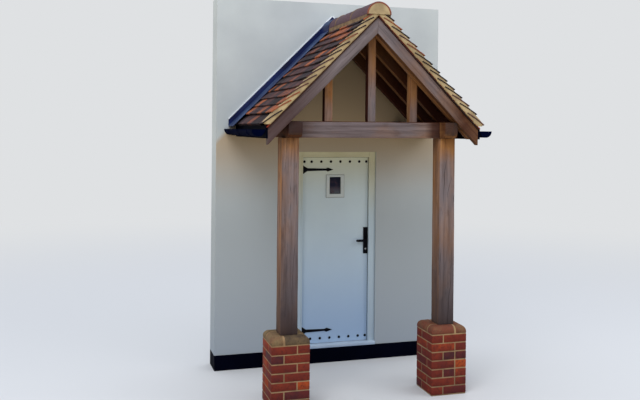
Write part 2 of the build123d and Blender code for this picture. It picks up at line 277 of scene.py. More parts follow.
def start(name, roughness, metallic=0.0, shine=0.5):
    """A new material and its shader; shine is how strongly it mirrors what it faces."""
    material = bpy.data.materials.new(name)
    material.use_nodes = True
    shader = material.node_tree.nodes["Principled BSDF"]
    shader.inputs["Roughness"].default_value = roughness
    shader.inputs["Metallic"].default_value = metallic
    shader.inputs["Specular IOR Level"].default_value = shine
    return material, shader


def add(material, kind, output, inputs=(), stops=(), **settings):
    """Adds a node with its settings, its inputs' values or links, and its colour stops.

    The inputs are in the node's own order, or have their names or numbers. The output
    that is named comes back, to be linked to the next node.
    """
    tree = material.node_tree
    node = tree.nodes.new("ShaderNode" + kind)
    for name, value in settings.items():
        setattr(node, name, value)
    for name, value in (inputs.items() if isinstance(inputs, dict) else enumerate(inputs)):
        if isinstance(value, bpy.types.NodeSocket):
            tree.links.new(value, node.inputs[name])
        else:
            node.inputs[name].default_value = value
    for number, (place, code) in enumerate(stops):
        bar = node.color_ramp.elements
        mark = bar[number] if number < 2 else bar.new(place)
        mark.position = place
        mark.color = linear(code)
    return node.outputs[output]


def surface(material, shader, **sockets):
    """Links patterns to the shader's own sockets."""
    for name, value in sockets.items():
        material.node_tree.links.new(value, shader.inputs[name.replace("_", " ")])


def between_heights(material, low, high, first=0.0, last=1.0, run="LINEAR"):
    """A share that goes from first to last between two heights."""
    place = add(material, "TexCoord", "Object")
    height = add(material, "SeparateXYZ", "Z", [place])
    return add(material, "MapRange", "Result", [height, low, high, first, last],
               interpolation_type=run)


def change_by_height(material, low_colour, high_colour, low, high):
    """A colour that changes gently from one height to another."""
    share = between_heights(material, low, high, run="SMOOTHSTEP")
    return add(material, "Mix", 2, {0: share, 6: low_colour, 7: high_colour}, data_type="RGBA")


def clouded(material, size, detail, dark, light):
    """A colour that drifts between two shades, over patches of so many millimetres."""
    place = add(material, "TexCoord", "Object")
    patches = add(material, "TexNoise", "Fac", {
        "Vector": place, "Scale": every(size), "Detail": detail})
    return add(material, "ValToRGB", "Color", [patches], [(0.35, dark), (0.65, light)])


def grit(material, size, detail, strength, depth):
    """A random grain of so many millimetres, and the relief that it gives."""
    place = add(material, "TexCoord", "Object")
    grain = add(material, "TexNoise", "Fac", {
        "Vector": place, "Scale": every(size), "Detail": detail})
    relief = add(material, "Bump", "Normal", {
        "Height": grain, "Strength": strength, "Distance": depth})
    return grain, relief


def masonry_paint(name, dark, light, roughness, shine, lower_down=None, roof_shade=None):
    # Brushed masonry paint on smooth cement render: even, with broad dull patches
    # and a fine sandy grain, painted greyer lower down as shade, and painted warm brown
    # on the outer face under the oak roof as shade with warm light thrown from the oak.
    material, shader = start(name, roughness, shine=shine)
    colour = clouded(material, 420, 4.0, dark, light)
    if roof_shade:
        # Greyer lower down: painted shade
        colour = change_by_height(material, linear(lower_down), colour, 1.1, 2.5)
        place = add(material, "TexCoord", "Object")
        across = add(material, "SeparateXYZ", "X", [place])
        across = add(material, "Math", "Value", [across], operation="ABSOLUTE")
        height = add(material, "SeparateXYZ", "Z", [place])
        reach = add(material, "Math", "Value", [across, height], operation="ADD")
        inside = add(material, "MapRange", "Result", [
            reach, roof_line - 0.03, roof_line + 0.03, 1.0, 0.0])
        near = between_heights(material, 1.55, 2.30, run="SMOOTHSTEP")
        facing = add(material, "TexCoord", "Normal")
        facing = add(material, "SeparateXYZ", "Y", [facing])
        outside = add(material, "MapRange", "Result", [facing, -0.9, -0.5, 1.0, 0.0])
        share = add(material, "Math", "Value", [inside, near], operation="MULTIPLY")
        share = add(material, "Math", "Value", [share, outside], operation="MULTIPLY")
        # Warm brown on the outer face under the roof: painted shade and painted thrown light
        colour = add(material, "Mix", 2, {0: share, 6: colour, 7: linear(roof_shade)}, data_type="RGBA")
    relief = grit(material, 7, 3.0, 0.35, 0.0012)[1]
    surface(material, shader, Base_Color=colour, Normal=relief)
    return material


def sawn_oak(name, fresh, aged, wet_and_shade):
    # Sawn green oak, left to season: brown where it is sheltered, silver-grey where the rain
    # reaches, with grain along each timber, rings on its cut ends and dark drying checks.
    material, shader = start(name, 0.75, shine=0.12)
    grain = add(material, "Attribute", "Vector", attribute_name="grain")
    silvered = add(material, "Attribute", "Fac", attribute_name="silvered")
    darkened = add(material, "Attribute", "Fac", attribute_name="darkened")
    cut_end = add(material, "Attribute", "Fac", attribute_name="cut_end")
    streaks = add(material, "Mapping", "Vector", {
        "Vector": grain, "Scale": (1.6, every(30), every(30))})
    figure = add(material, "TexNoise", "Fac", {
        "Vector": streaks, "Scale": 1.0, "Detail": 6.0, "Roughness": 0.68})
    broad = add(material, "Mapping", "Vector", {
        "Vector": grain, "Scale": (2.6, every(150), every(150))})
    shading = add(material, "TexNoise", "Fac", {
        "Vector": broad, "Scale": 1.0, "Detail": 4.0, "Roughness": 0.6})
    # Rings on the cut ends, drawn 20 mm apart so that they show
    rings = add(material, "TexWave", "Fac", {
        "Vector": grain, "Scale": ring_step * every(20), "Distortion": 1.6, "Detail": 2.0,
        "Detail Scale": 1.5}, wave_type="RINGS", rings_direction="X")
    ringed = add(material, "Math", "Value", [cut_end, 0.25], operation="MULTIPLY")
    figure = add(material, "Mix", 0, {0: ringed, 2: figure, 3: rings})
    brown, silver = [
        add(material, "ValToRGB", "Color", [figure], zip((0.30, 0.50, 0.70), shades))
        for shades in (fresh, aged)]
    patch = add(material, "MapRange", "Result", [shading, 0.3, 0.7, -0.28, 0.28])
    share = add(material, "Math", "Value", [silvered, patch], operation="ADD", use_clamp=True)
    colour = add(material, "Mix", 2, {0: share, 6: brown, 7: silver}, data_type="RGBA")
    # Darkened share: wet timber, and painted shade under the roof and in recesses
    colour = add(material, "Mix", 2, {0: darkened, 6: colour, 7: linear(wet_and_shade)}, data_type="RGBA")
    # Tannin and iron stains
    blotch = add(material, "Mapping", "Vector", {
        "Vector": grain, "Location": (8.0, 2.0, 6.0), "Scale": (5.0, every(90), every(90))})
    stained = add(material, "TexNoise", "Fac", {
        "Vector": blotch, "Scale": 1.0, "Detail": 4.0, "Roughness": 0.65})
    stained = add(material, "MapRange", "Result", [stained, 0.54, 0.76, 0.0, 0.45])
    stained = add(material, "Math", "Value", [cut_end, 0.62, stained],
                  operation="MULTIPLY_ADD", use_clamp=True)
    colour = add(material, "Mix", 2, {0: stained, 6: colour, 7: linear("#3a2f2e")}, data_type="RGBA")
    # Dirt splashed up from the ground
    lower_down = between_heights(material, 0.6, 1.4, 0.68, 0.0)
    colour = add(material, "Mix", 2, {0: lower_down, 6: colour, 7: linear("#322d2f")}, data_type="RGBA")
    # Drying checks: thin dark splits along the grain, drawn 4 mm wide so that they show
    lean = add(material, "Mapping", "Vector", {"Vector": grain, "Scale": (0.05, 1.0, 1.0)})
    drift = add(material, "TexNoise", "Color", {"Vector": broad, "Scale": 0.8, "Detail": 2.0})
    lean = add(material, "VectorMath", "Vector", [drift, (0.0, 0.07, 0.07), lean],
               operation="MULTIPLY_ADD")
    splits = add(material, "TexWave", "Fac", {"Vector": lean, "Scale": band_step * every(56)},
                 wave_type="BANDS", bands_direction="DIAGONAL", wave_profile="SAW")
    splits = add(material, "MapRange", "Result", [splits, 0.91, 0.96, 0.0, 0.6])
    broken = add(material, "MapRange", "Result", [shading, 0.51, 0.60])
    splits = add(material, "Math", "Value", [splits, broken], operation="MULTIPLY")
    colour = add(material, "Mix", 2, {0: splits, 6: colour, 7: linear("#1b120f")}, data_type="RGBA")
    height = add(material, "Math", "Value", [splits, -2.0, figure], operation="MULTIPLY_ADD")
    relief = add(material, "Bump", "Normal", {
        "Height": height, "Strength": 0.6, "Distance": 0.003})
    surface(material, shader, Base_Color=colour, Normal=relief)
    return material


def fired_clay(name, stops, mottle, spot):
    # Fired clay, each piece its own colour from its place in the kiln, with darker mottling
    # and a dry, sandy skin.
    material, shader = start(name, 0.85, shine=0.25)
    place = add(material, "TexCoord", "Object")
    cloud = add(material, "TexNoise", "Fac", {
        "Vector": place, "Scale": every(70), "Detail": 4.0, "Roughness": 0.6})
    shift = add(material, "MapRange", "Result", [cloud, 0.3, 0.7, -0.18, 0.18])
    tone = add(material, "Attribute", "Fac", attribute_name="tone")
    tone = add(material, "Math", "Value", [tone, shift], operation="ADD", use_clamp=True)
    colour = add(material, "ValToRGB", "Color", [tone], stops)
    fine, relief = grit(material, 14, 3.0, 0.4, 0.0015)
    dark = add(material, "MapRange", "Result", [fine, 0.52, 0.68, 0.0, spot])
    colour = add(material, "Mix", 2, {0: dark, 6: colour, 7: linear(mottle)}, data_type="RGBA")
    surface(material, shader, Base_Color=colour, Normal=relief)
    return material


def sand_mortar(name, dark, light):
    # Sand and lime mortar, trowelled and weathered: buff, gritty, with duller stains.
    material, shader = start(name, 0.92, shine=0.2)
    colour = clouded(material, 90, 4.0, dark, light)
    relief = grit(material, 5, 3.0, 0.5, 0.0015)[1]
    surface(material, shader, Base_Color=colour, Normal=relief)
    return material


def milled_lead():
    # Milled lead sheet, dressed by hand and oiled: dark blue-grey with a soft metal sheen
    # and shallow dents, painted paler on its faces that look up, as sky light.
    material, shader = start("milled_lead", 0.55, 0.3, 0.3)
    place = add(material, "TexCoord", "Object")
    bloom = add(material, "TexNoise", "Fac", {
        "Vector": place, "Scale": every(180), "Detail": 4.0})
    dark = add(material, "ValToRGB", "Color", [bloom], [(0.35, "#040d38"), (0.65, "#0d1f58")])
    pale = add(material, "ValToRGB", "Color", [bloom], [(0.38, "#1b2b57"), (0.64, "#384d74")])
    sky_lit = add(material, "Attribute", "Fac", attribute_name="sky_lit")
    colour = add(material, "Mix", 2, {0: sky_lit, 6: dark, 7: pale}, data_type="RGBA")
    relief = grit(material, 55, 2.0, 0.4, 0.004)[1]
    surface(material, shader, Base_Color=colour, Normal=relief)
    return material


def smooth_coat(name, dark, light, roughness, grain=3.0, metallic=0.0, shine=0.5, foot=None,
                head=None):
    # A sprayed, moulded or cast surface: one colour with a faint change in shade
    # and a slight unevenness in its gloss; where given, a cooler foot and a warmer head
    # are painted light: sky mirrored low down, and warm light thrown from the oak up high.
    material, shader = start(name, roughness, metallic, shine)
    colour = clouded(material, 260, 3.0, dark, light)
    # Cooler foot: painted sky light; warmer head: painted light from the oak
    if foot:
        colour = change_by_height(material, linear(foot[0]), colour, foot[1], foot[2])
    if head:
        colour = change_by_height(material, colour, linear(head[0]), head[1], head[2])
    skin, relief = grit(material, grain, 2.0, 0.15, 0.0006)
    gloss = add(material, "MapRange", "Result", [
        skin, 0.0, 1.0, roughness - 0.06, roughness + 0.06])
    surface(material, shader, Base_Color=colour, Roughness=gloss, Normal=relief)
    return material


def sealed_glass():
    # A sealed pane in front of a dark hall: nearly black at the top, with pale light
    # from the ground in its lower part.
    material, shader = start("sealed_glass", 0.06, shine=0.1)
    shader.inputs["IOR"].default_value = 1.5
    part = between_heights(material, 1.665, 1.835)
    colour = add(material, "ValToRGB", "Color", [part], [
        (0.0, "#5d6670"), (0.30, "#4b4452"), (0.48, "#1d1d36"), (1.0, "#0c0d28")])
    place = add(material, "TexCoord", "Object")
    cloud = add(material, "TexNoise", "Fac", {
        "Vector": place, "Scale": every(60), "Detail": 2.0})
    cloud = add(material, "MapRange", "Result", [cloud, 0.45, 0.65, 0.0, 0.5])
    colour = add(material, "Mix", 2, {0: cloud, 6: colour, 7: linear("#53363f")}, data_type="RGBA")
    surface(material, shader, Base_Color=colour)
    return material


wall_paint = masonry_paint(
    "cream_masonry_paint", "#bcc3c7", "#c6cdd0", 0.88, 0.3, lower_down="#aeb6bb",
    roof_shade="#b9a790")
pointing_paint = masonry_paint("white_painted_pointing", "#dfe6ee", "#e9eff5", 0.7, 0.3)
plinth_paint = masonry_paint("black_masonry_paint", "#01020c", "#030514", 0.7, 0.02)
oak = sawn_oak(
    "sawn_green_oak", ("#6b4527", "#936640", "#ab7b4a"), ("#5a5254", "#73696d", "#867c81"),
    "#36140d")
# The roof boards take near-black browns: painted shade under the roof
board_wood = sawn_oak(
    "sawn_roof_boards", ("#180709", "#280d0f", "#391516"), ("#36150f", "#4c2018", "#5e2b20"),
    "#0a0405")
brick_clay = fired_clay("facing_brick", [
    (0.0, "#482428"), (0.25, "#622726"), (0.5, "#702a1f"), (0.8, "#833321"),
    (1.0, "#ac4a20")], "#48231e", 0.6)
cap_clay = fired_clay("bullnose_brick", [
    (0.0, "#493c30"), (0.45, "#7c6749"), (1.0, "#74402f")], "#3a2f27", 0.5)
tile_clay = fired_clay("plain_clay_tile", [
    (0.0, "#231917"), (0.14, "#2c242a"), (0.38, "#413034"), (0.6, "#5a3a37"),
    (0.8, "#834c37"), (1.0, "#a95e36")], "#2a2125", 0.6)
ridge_clay = fired_clay("ridge_tile", [
    (0.0, "#4b3a3f"), (0.6, "#604951"), (1.0, "#8a4f3a")], "#3b2f33", 0.5)
cloak_clay = fired_clay("undercloak_tile", [(0.0, "#8a2410"), (1.0, "#a5391c")], "#4a160c", 0.5)
joint_mortar = sand_mortar("brick_joint_mortar", "#8b7052", "#a98b66")
bed_mortar = sand_mortar("verge_and_ridge_mortar", "#988567", "#bba681")
# A darker mix for the ridge bedding and pointing
ridge_mortar = sand_mortar("darker_ridge_mortar", "#6d5a45", "#8f775a")
lead = milled_lead()
fascia_paint = smooth_coat("black_gloss_paint", "#00020c", "#010414", 0.7, shine=0.02)
gutter_plastic = smooth_coat("black_moulded_plastic", "#00041a", "#010624", 0.8, shine=0.01)
# The door's blue tint, strongest at the foot, is painted sky reflection; its warm head is painted
# light thrown from the oak
door_paint = smooth_coat(
    "sprayed_white_door", "#d2e2ea", "#d6e6ed", 0.45, shine=0.3, foot=("#a6c0dd", 0.1, 1.8),
    head=("#d9dbc4", 1.6, 2.15))
trim_paint = smooth_coat("white_window_rim", "#cfd8da", "#d5dddf", 0.45, shine=0.3)
# The frame's cream top is painted warm light from the oak, its blue foot painted sky light
frame_plastic = smooth_coat(
    "white_extruded_plastic", "#d3cfae", "#dbd7b8", 0.40, shine=0.3, foot=("#c0d1dc", 1.3, 2.1))
# The sill's blue is painted sky light on a white sill
sill_metal = smooth_coat("pale_sill_metal", "#afc2d6", "#becfe0", 0.35)
black_iron = smooth_coat("black_painted_iron", "#030309", "#070710", 0.65, 6.0, shine=0.08)
bright_steel = smooth_coat("satin_steel", "#a3a5a8", "#b5b7b9", 0.30, 2.0, 1.0)
rubber = smooth_coat("black_rubber_seal", "#0c0d10", "#15161a", 0.70, shine=0.2)
glass = sealed_glass()


# Masonry

def lay_pier(name, middle, courses, cap, odd_tones, cap_tones):
    """Brick courses on a mortar core, with a bullnose course on top."""
    left = middle - pier_side / 2
    step = brick_width + bed_joint
    far = brick_length + bed_joint
    plans = {
        "long_left": [(0, 0, 0), (far, 0, 1), (step, far, 0), (0, step, 1)],
        "long_right": [(step, 0, 0), (0, 0, 1), (0, far, 0), (far, step, 1)],
        "ends": [(0, 0, 1), (step, 0, 1), (2 * step, 0, 1), (0, far, 0), (far, far, 2)],
    }
    brick = block("brick", (0, 0, 0), (brick_length, brick_width, brick_height))
    soften(brick, 0.003)
    bricks = []
    for course, plan in enumerate(courses):
        bottom = pier_top - (course + 2) * (brick_height + bed_joint)
        for number, (x, y, turn) in enumerate(plans[plan]):
            usual = chance.choice([0.2, 0.4, 0.5, 0.55, 0.6, 0.7, 0.8])
            tone = odd_tones.get((course, number), usual + stray(0.05))
            place = Matrix.Translation((
                left + x + stray(0.0006), pier_front + y + stray(0.0006),
                bottom + bed_joint + stray(0.0008)))
            if turn == 1:
                place = place @ Matrix.Translation((brick_width, 0, 0))
                place = place @ Matrix.Rotation(math.radians(90), 4, "Z")
            if turn == 2:
                place = place @ Matrix.Diagonal((brick_width / brick_length, 1, 1, 1))
            bricks.append(copied(brick, place, tone))
    bpy.data.objects.remove(brick)
    fit(joined(name + "_bricks", bricks), brick_clay, "porch", "brick", name)

    caps = []
    for tone, (x, y, turn) in zip(cap_tones, plans[cap]):
        size = (brick_width, brick_length) if turn else (brick_length, brick_width)
        piece = rounded_top(
            "cap", (left, pier_front, pier_top - brick_height),
            (left + pier_side, pier_front + pier_side, pier_top), bullnose)
        near = [0.0 if at == 0 else 0.004 for at in (x, y)]
        far_in = [0.0 if at + long > pier_side - 0.01 else 0.004
                  for at, long in zip((x, y), size)]
        keep_between(
            piece, (left + x + near[0], pier_front + y + near[1], 0),
            (left + x + size[0] - far_in[0], pier_front + y + size[1] - far_in[1], 1))
        soften(piece, 0.0025)
        set_tone(piece, tone)
        caps.append(piece)
    fit(joined(name + "_bullnose_bricks", caps), cap_clay, "porch", "brick")

    inset = 0.0025
    core = rounded_top(
        name + "_mortar", (left + inset, pier_front + inset, 0),
        (left + pier_side - inset, pier_front + pier_side - inset, pier_top - inset),
        bullnose - 0.002)
    bpy.ops.object.shade_smooth_by_angle(angle=math.radians(35))
    fit(core, joint_mortar, "porch", "mortar")


def rounded_top(name, low, high, radius):
    """A block with its four upper edges rounded."""
    piece = block(name, low, high)
    bpy.ops.object.mode_set(mode="EDIT")
    bpy.ops.mesh.select_all(action="DESELECT")
    bpy.ops.object.mode_set(mode="OBJECT")
    for edge in piece.data.edges:
        edge.select = all(piece.data.vertices[v].co.z > high[2] - 0.001 for v in edge.vertices)
    bpy.ops.object.mode_set(mode="EDIT")
    bpy.ops.mesh.select_mode(type="EDGE")
    bpy.ops.mesh.bevel(offset=radius, segments=7, affect="EDGES")
    bpy.ops.object.mode_set(mode="OBJECT")
    return piece


def build_masonry():
    cover(wall_paint, "wall_left_of_door", "wall_right_of_door", "wall_over_door")
    cover(plinth_paint, "plinth_left", "plinth_under_door", "plinth_right")
    lay_pier(
        "left_pier", -post_line,
        ["long_left", "long_right"] * 3 + ["long_left"], "long_right",
        {(0, 0): 0.55, (0, 1): 0.5, (1, 0): 0.6, (1, 1): 0.1, (2, 0): 0.45, (2, 1): 0.7,
         (3, 0): 0.6, (3, 1): 0.4, (4, 0): 0.6, (4, 1): 0.98, (5, 0): 0.25, (5, 1): 0.5,
         # The left side's rear bricks take light orange tones: painted light on that side
         (0, 3): 0.75, (1, 2): 0.8, (2, 3): 0.8, (3, 2): 0.75, (4, 3): 0.85, (5, 2): 0.8},
        (0.15, 0.55, 0.3, 0.3))
    lay_pier(
        "right_pier", post_line,
        ["long_right"] + ["long_left", "ends"] * 2 + ["long_left", "long_right"], "long_left",
        {(0, 0): 0.6, (0, 1): 0.5, (1, 0): 0.75, (1, 1): 0.45, (2, 1): 0.1, (2, 2): 0.15,
         (3, 0): 0.5, (3, 1): 1.0, (4, 1): 0.2, (5, 0): 0.65, (5, 1): 0.5, (6, 0): 0.3},
        (1.0, 0.8, 0.9, 0.9))


# Oak frame

def timber(node, along, weather_and_shade):
    """A timber with soft arrises and sawn faces, its grain, weathering and painted shade stored on
    it.
    """
    piece = copy_of(node, node + "_oak")
    soften(piece, 0.005)
    slice_along(piece, along, 0.07)
    roughen(piece, 0.30, 0.005)
    mark_grain(piece, along, weather_and_shade)
    fit(piece, oak, "porch", "oak", node)


def mark_grain(piece, along, weather_and_shade):
    """Stores the run of the grain from the timber's heart, its weathering and its cut ends.

    The function passed in gives two shares at each corner: how far it is silvered, and how
    far darkened, by wet and by painted shade under the roof and in recesses.
    """
    along = Vector(along).normalized()
    beside = along.cross(Vector((0, 1, 0)))
    if beside.length < 0.5:
        beside = Vector((1, 0, 0))
    third = along.cross(beside)
    low, high = spread(piece)
    heart = (low + high) / 2 + Vector([stray(0.03) for _ in range(3)])
    begin = chance.uniform(0, 90)
    places = []
    for vertex in piece.data.vertices:
        spot = vertex.co - heart
        places.extend((begin + along.dot(spot), beside.dot(spot), third.dot(spot)))
    grain = piece.data.attributes.new("grain", "FLOAT_VECTOR", "POINT")
    grain.data.foreach_set("vector", places)
    faces = piece.data.polygons
    shares = [
        weather_and_shade(face.normal, piece.data.vertices[number].co)
        for face in faces for number in face.vertices]
    for name, values in zip(("silvered", "darkened"), zip(*shares)):
        share = piece.data.attributes.new(name, "FLOAT", "CORNER")
        share.data.foreach_set("value", values)
    cut_end = piece.data.attributes.new("cut_end", "FLOAT", "FACE")
    cut_end.data.foreach_set("value", [float(abs(face.normal.dot(along)) > 0.8) for face in faces])


def spread(piece):
    """The lowest and highest corners of a piece."""
    corners = [v.co for v in piece.data.vertices]
    low = Vector([min(c[axis] for c in corners) for axis in range(3)])
    high = Vector([max(c[axis] for c in corners) for axis in range(3)])
    return low, high


def reading(at, *marks):
    """The value at one place between marks, each a place and its value."""
    if at <= marks[0][0]:
        return marks[0][1]
    for (near, first), (far, second) in zip(marks, marks[1:]):
        if at <= far:
            return first + (second - first) * (at - near) / (far - near)
    return marks[-1][1]


def post_weather(normal, spot):
    """Posts are grey low down, and stay brown near the roof and on the inner side."""
    wet = 0.10 if spot.x < 0 else 0.0
    foot = reading(spot.z, (0.62, 0.45 + 2 * wet), (0.90, 0.12 + wet), (1.20, 0.10 + wet),
                   (1.60, 0.0))
    if normal.y < -0.7:
        return reading(spot.z, (1.50, 0.85), (2.02, 0.75), (2.09, 0.42), (2.15, 0.05)), foot
    outer = normal.x * spot.x > 0.3
    return reading(spot.z, (1.50, 0.45), (2.25, 0.10)), foot / (4 if outer else 2)


def front_weather_and_shade(normal, spot):
    """Front rafters are grey on the face and dark towards their feet; their backs and undersides are
    brown, darkened with painted shade.
    """
    if normal.y < -0.7 and spot.x < 0:
        return 1.1, reading(-spot.x, (0.35, 0.0), (0.50, 0.34), (0.60, 0.50), (0.75, 0.68))
    if normal.y < -0.7:
        return (
            reading(spot.x, (0.20, 0.95), (0.40, 0.75), (0.60, 0.55), (0.72, 0.50), (0.80, 0.20)),
            reading(spot.x, (0.10, 0.0), (0.22, 0.22), (0.40, 0.15), (0.60, 0.16), (0.70, 0.30),
                    (0.80, 0.92), (0.90, 0.65)))
    if abs(normal.x) > 0.9:
        return 1.0, 0.5
    # Tops are silvered; backs and undersides carry painted shade
    return (0.6, 0.0) if normal.z > 0.6 else (0.0, 0.65)


def tie_weather_and_shade(normal, spot):
    """The tie beam is grey in front, brown underneath and at its right end, and dark along its top;
    the dark by the right post is painted shadow.
    """
    if normal.z > 0.2:
        return 0.0, 0.9
    if normal.y > -0.7:
        return 0.05, 0.0
    return (
        reading(spot.x, (0.30, 1.05), (0.45, 0.60), (0.56, 0.35)),
        # Painted shadow from 0.51 m out, by the right post and wall plate
        reading(spot.x, (-0.60, 0.40), (-0.45, 0.15), (-0.30, 0.25), (0.30, 0.25), (0.45, 0.05),
                (0.51, 0.05), (0.56, 0.75), (0.60, 0.85)))


def plate_weather_and_shade(normal, spot):
    """Wall plates are dark on the nose that stands out in front, most on the left; their outer sides
    behind it carry painted shade.
    """
    if spot.y > nose_back:
        # Outer sides behind the nose: painted shade
        return 0.05, (0.85 if normal.x * spot.x > 0.3 else 0.0)
    if normal.z < -0.3 or spot.z < 2.28:
        return 0.0, (0.82 if spot.x < 0 else 0.42)
    return 0.0, (1.0 if spot.x < 0 else 0.78)


def rear_painted_shade(normal, spot):
    """Rafters under the roof carry painted shade: dark on most faces, and lighter, golden or brown,
    underneath towards the front.
    """
    # All of it is painted shade under the roof; less of it underneath towards the front
    if normal.z < -0.5 and spot.y < truss_back:
        return 0.0, reading(spot.x, (0.20, 0.0), (0.60, 0.30))
    if normal.z < -0.5 and spot.y < -0.35 and spot.x > 0:
        return 0.0, reading(spot.x, (0.20, 0.32), (0.50, 0.64))
    return 0.0, reading(spot.x, (0.0, 0.92), (0.10, 0.74), (0.50, 0.97))


def board_ends_and_shade(normal, spot):
    """Boards show their ends in front, and carry painted shade, darkest low down on the right."""
    # The darkened share is painted shade under the roof
    return (1.0 if normal.y < -0.7 else 0.0), reading(spot.x, (0.25, 0.0), (0.45, 0.75))


def hung_weather_and_shade(normal, spot):
    """King post and struts go from grey at the tie beam to brown under the rafters; the left sides of
    the king post and left strut, and the right strut, carry painted shade.
    """
    # Left sides: painted shade, deepest low down
    if normal.x < -0.7 and spot.x < 0.2:
        return 0.0, reading(spot.z, (2.92, 1.0), (3.05, 0.55))
    if normal.y > -0.7:
        return 0.05, 0.0
    if abs(spot.x) < 0.2:
        return (
            reading(spot.z, (2.50, 0.90), (2.62, 0.80), (2.75, 0.45), (2.95, 0.10)),
            reading(spot.z, (2.50, 0.0), (2.62, 0.02), (2.75, 0.22), (2.90, 0.14), (3.05, 0.06)))
    if spot.x < 0:
        return reading(spot.z, (2.50, 0.50), (2.60, 0.05)), 0.05
    # The right strut is darker: painted shade
    return reading(spot.z, (2.50, 0.58), (2.66, 0.20)), 0.38


def build_oak():
    for side, hand in ((-1, "left"), (1, "right")):
        down = (side, 0, -1)
        timber(hand + "_post", (0, 0, 1), post_weather)
        timber(hand + "_wall_plate", (0, 1, 0), plate_weather_and_shade)
        timber(hand + "_strut", (0, 0, 1), hung_weather_and_shade)
        timber(hand + "_front_rafter", down, front_weather_and_shade)
        timber(hand + "_rear_rafters", down, rear_painted_shade)
    timber("tie_beam", (1, 0, 0), tie_weather_and_shade)
    timber("king_post", (0, 0, 1), hung_weather_and_shade)


# Roof covering

def roof_board_run(side, hand):
    """Boards laid along the house over the rafters, edge to edge."""
    count = 10
    width = board_reach * math.sqrt(2) / count
    boards = []
    for number in range(count):
        board = strip(
            "board", side, rafter_top, start=number * width + 0.001,
            end=(number + 1) * width - 0.001, low=0.0003, high=0.0118, front=-1.285, back=0)
        soften(board, 0.0015, 1)
        mark_grain(board, (0, 1, 0), board_ends_and_shade)
        boards.append(board)
    fit(joined(hand + "_sawn_boards", boards), board_wood, "porch", "boards",
        hand + "_roof_boards")


def clay_tile(reach, lean, twist=0.0):
    """One plain tile, cambered along its length, with its tail at the origin."""
    camber = 0.54
    half = tile_width / 2 - 0.0007
    tile = block("tile", (-half, 0, -tile_thickness), (half, reach, 0))
    slice_along(tile, (0, 1, 0), 0.05)
    soften(tile, 0.0015, 1)
    for vertex in tile.data.vertices:
        up = vertex.co.y
        vertex.co.z -= (lean + twist * vertex.co.x) * up + camber * up * up
    return tile


def lay_tiles(side, hand):
    """Courses of tiles, with a wider tile at the verge in every second course."""
    courses = 13
    eave_tilt = 0.058
    verge_lift = 0.0096
    verge_thinning = 0.85
    plumb_cut = 0.034
    under_share = 0.62
    skew = 0.006
    tile = clay_tile(tile_length, lean=0.106)
    verge_tile = clay_tile(verge_tile_length, lean=0.162, twist=-0.68 * side)
    face = Matrix((
        (0, -side / math.sqrt(2), side / math.sqrt(2), 0),
        (side, 0, 0, 0),
        (0, 1 / math.sqrt(2), 1 / math.sqrt(2), 0),
        (0, 0, 0, 1)))
    tiles = []
    step = tile_gauge / math.sqrt(2)
    for course in range(courses):
        tail = eave - step * course
        room = (tail - 0.008) * math.sqrt(2)
        spot = verge + chance.uniform(0.0, 0.001)
        first = True
        while spot < -0.03:
            width = wide_tile if first and course % 2 else tile_width
            width = min(width, -spot)
            lift = chance.uniform(-0.0008, 0.0012)
            drop = eave_dip if course == 0 else 0.0
            place = Matrix.Translation((
                side * tail, spot + width / 2, tile_peak - tail - drop)) @ face
            place = place @ Matrix.Translation((0, stray(0.002), lift))
            if course == 0:
                place = place @ Matrix.Rotation(eave_tilt, 4, "X")
            if first:
                rise = math.atan(verge_lift / width)
                place = place @ Matrix.Translation((0, 0, verge_lift / 2))
                place = place @ Matrix.Rotation(side * rise, 4, "Y")
                place = place @ Matrix.Diagonal((1, 1, verge_thinning, 1))
            place = place @ Matrix.Rotation(stray(skew), 4, "Z")
            place = place @ Matrix.Rotation(stray(skew), 4, "Y")
            length = min(1.0, room / (verge_tile_length if first else tile_length))
            place = place @ Matrix.Diagonal((width / tile_width, length, 1, 1))
            tone = chance.choice([0.08, 0.16, 0.25, 0.33, 0.42, 0.55, 0.72, 0.88])
            tone += stray(0.06)
            tiles.append(copied(verge_tile if first else tile, place, tone))
            if first:
                # Verge ends: the dark tones are painted shade in the slots between the tiles; the
                # rest are the tile's own colours
                colour_end(tiles[-1], chance.choice([0.0, 0.05, 0.5, 0.85]))
            if first and course >= courses - 3:
                cut_off(tiles[-1], (side * plumb_cut, 0, 0), (-side, 0, 0))
            if course == 0 and not first:
                under = place @ Matrix.Translation((0, 0, -tile_thickness - 0.0003))
                under = under @ Matrix.Diagonal((1, under_share, 1, 1))
                tiles.append(copied(tile, under, chance.uniform(0.2, 0.6)))
                # Its end is darkest: painted shade under the eave course
                colour_end(tiles[-1], 0.0)
            spot += width
            first = False
    bpy.data.objects.remove(tile)
    bpy.data.objects.remove(verge_tile)
    fit(joined(hand + "_plain_tiles", tiles), tile_clay, "porch", "tiles", hand + "_roof_tiles")


def colour_end(tile, tone):
    """Colours the front end of a tile apart from its top."""
    for number, face in enumerate(tile.data.polygons):
        if face.normal.y < -0.6:
            tile.data.attributes["tone"].data[number].value = tone


def bed_verge(side, hand):
    """The undercloak and the mortar between the tile ends."""
    cloak = strip(
        hand + "_undercloak", side, board_top, start=-0.01, end=1.345, low=0.0003, high=0.0052,
        front=verge + 0.006, back=-1.18)
    cut_off(cloak, (0, 0, 0), (-side, 0, 0))
    soften(cloak, 0.001, 1)
    set_tone(cloak, 0.5)
    fit(cloak, cloak_clay, "porch", "tiles")
    mortar = strip(
        hand + "_verge_bed", side, board_top, start=-0.06, end=1.338, low=0.0004, high=0.055,
        front=verge + 0.0045, back=verge + 0.055)
    foot = 2.349
    cut_off(mortar, (0, 0, 0), (-side, 0, 0))
    cut_off(mortar, (0, 0, foot), (0, 0, -1))
    slice_along(mortar, (side, 0, -1), 0.018)
    slice_along(mortar, (side, 0, 1), 0.015)
    roughen(mortar, 0.03, 0.003)
    bpy.ops.object.shade_smooth()
    fit(mortar, bed_mortar, "porch", "mortar", hand + "_verge_mortar")


